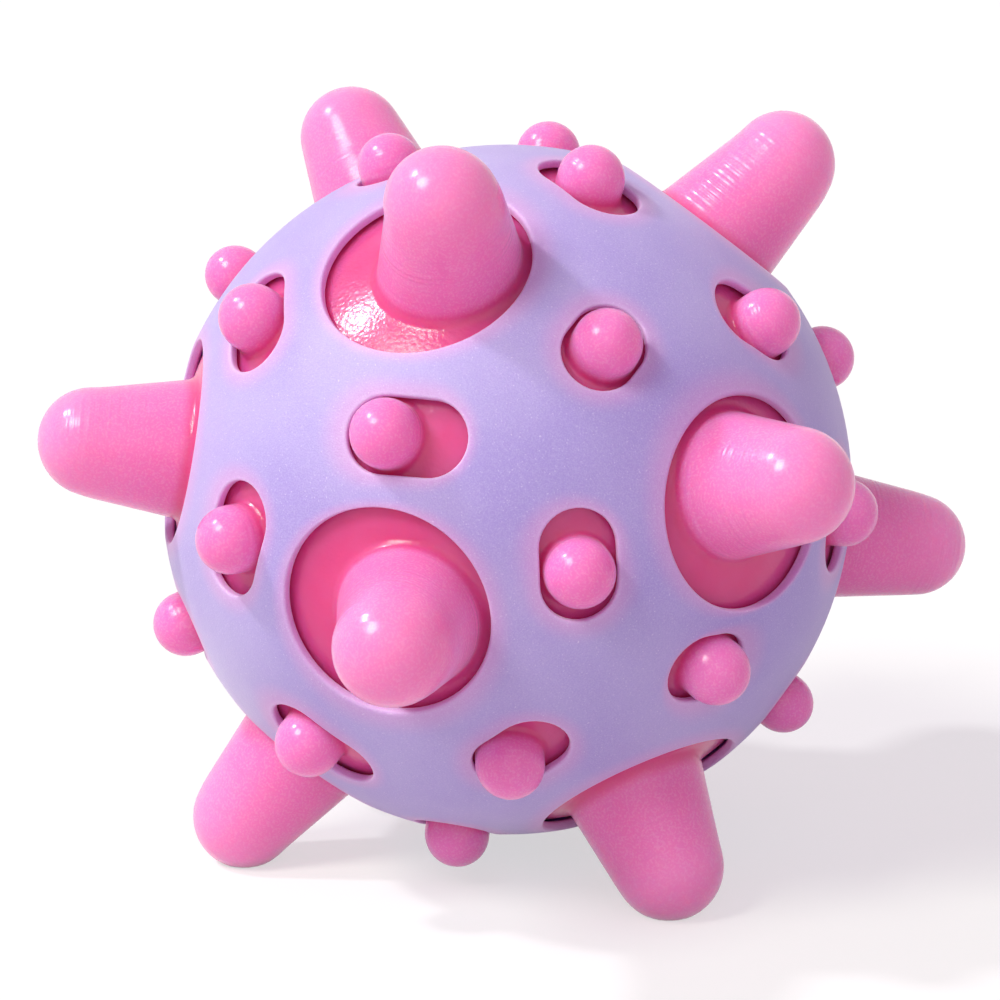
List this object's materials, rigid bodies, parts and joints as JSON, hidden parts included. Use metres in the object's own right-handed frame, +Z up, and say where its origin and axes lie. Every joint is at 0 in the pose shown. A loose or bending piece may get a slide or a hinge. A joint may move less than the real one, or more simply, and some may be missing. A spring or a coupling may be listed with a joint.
{
  "type": "light-up ball",
  "caption": "Soft light-up ball: a pink rubber ball with cone spikes and round knobs through a holed lavender skin, with a bounce-lit lamp capsule inside.",
  "frame": {"origin": "on the surface that the ball stands on, straight under the ball's centre", "axes": "+Z up, +Y towards the standing spike at the back, +X to the right"},
  "size_m": [0.0844, 0.0957, 0.0791],
  "materials": {
    "skin_rubber": "matte lavender soft rubber with fine glitter",
    "ball_rubber": "glossy milky pink soft rubber, slightly see-through",
    "plug_rubber": "plain pink soft rubber",
    "clear_plastic": "clear polished plastic",
    "board": "green lacquered board",
    "chip_resin": "black cast resin",
    "spring_wire": "drawn spring wire",
    "wire": "tinned wire",
    "lamp_red": "clear red lamp resin",
    "lamp_green": "clear green lamp resin",
    "lamp_blue": "clear blue lamp resin",
    "cell_steel": "nickelled steel",
    "sleeve_film": "blue shrink film",
    "strip_metal": "nickelled strip"
  },
  "bodies": {
    "ball": {"inner_ball": "ball_rubber", "ball_plug": "plug_rubber", "capsule_base": "clear_plastic", "capsule_dome": "clear_plastic", "circuit_board": "board", "chip_blob": "chip_resin", "vibration_pin": "wire", "cell_sleeve": "sleeve_film", "cell_strap": "strip_metal", "cell_contact": "strip_metal", "led_red": "lamp_red", "led_red_anode": "wire", "led_red_cathode": "wire", "led_green": "lamp_green", "led_green_anode": "wire", "led_green_cathode": "wire", "led_blue": "lamp_blue", "led_blue_anode": "wire", "led_blue_cathode": "wire", "button_cell_1": "cell_steel", "button_cell_2": "cell_steel", "button_cell_3": "cell_steel"},
    "skin": {"outer_shell": "skin_rubber"},
    "switch_coil": {"vibration_spring": "spring_wire"}
  },
  "joints": [
    {"name": "skin_twist", "type": "hinge", "parent": "ball", "child": "skin", "pos_m": [0, 0, 0.03935], "axis": [0, 0, 1], "range_deg": [-0.4, 0.4]},
    {"name": "coil_sway", "type": "hinge", "parent": "ball", "child": "switch_coil", "pos_m": [0, -0.0047, 0.0398], "axis": [0, 1, 0], "range_deg": [-8, 8], "stiffness_Nm_per_rad": 0.00006}
  ]
}
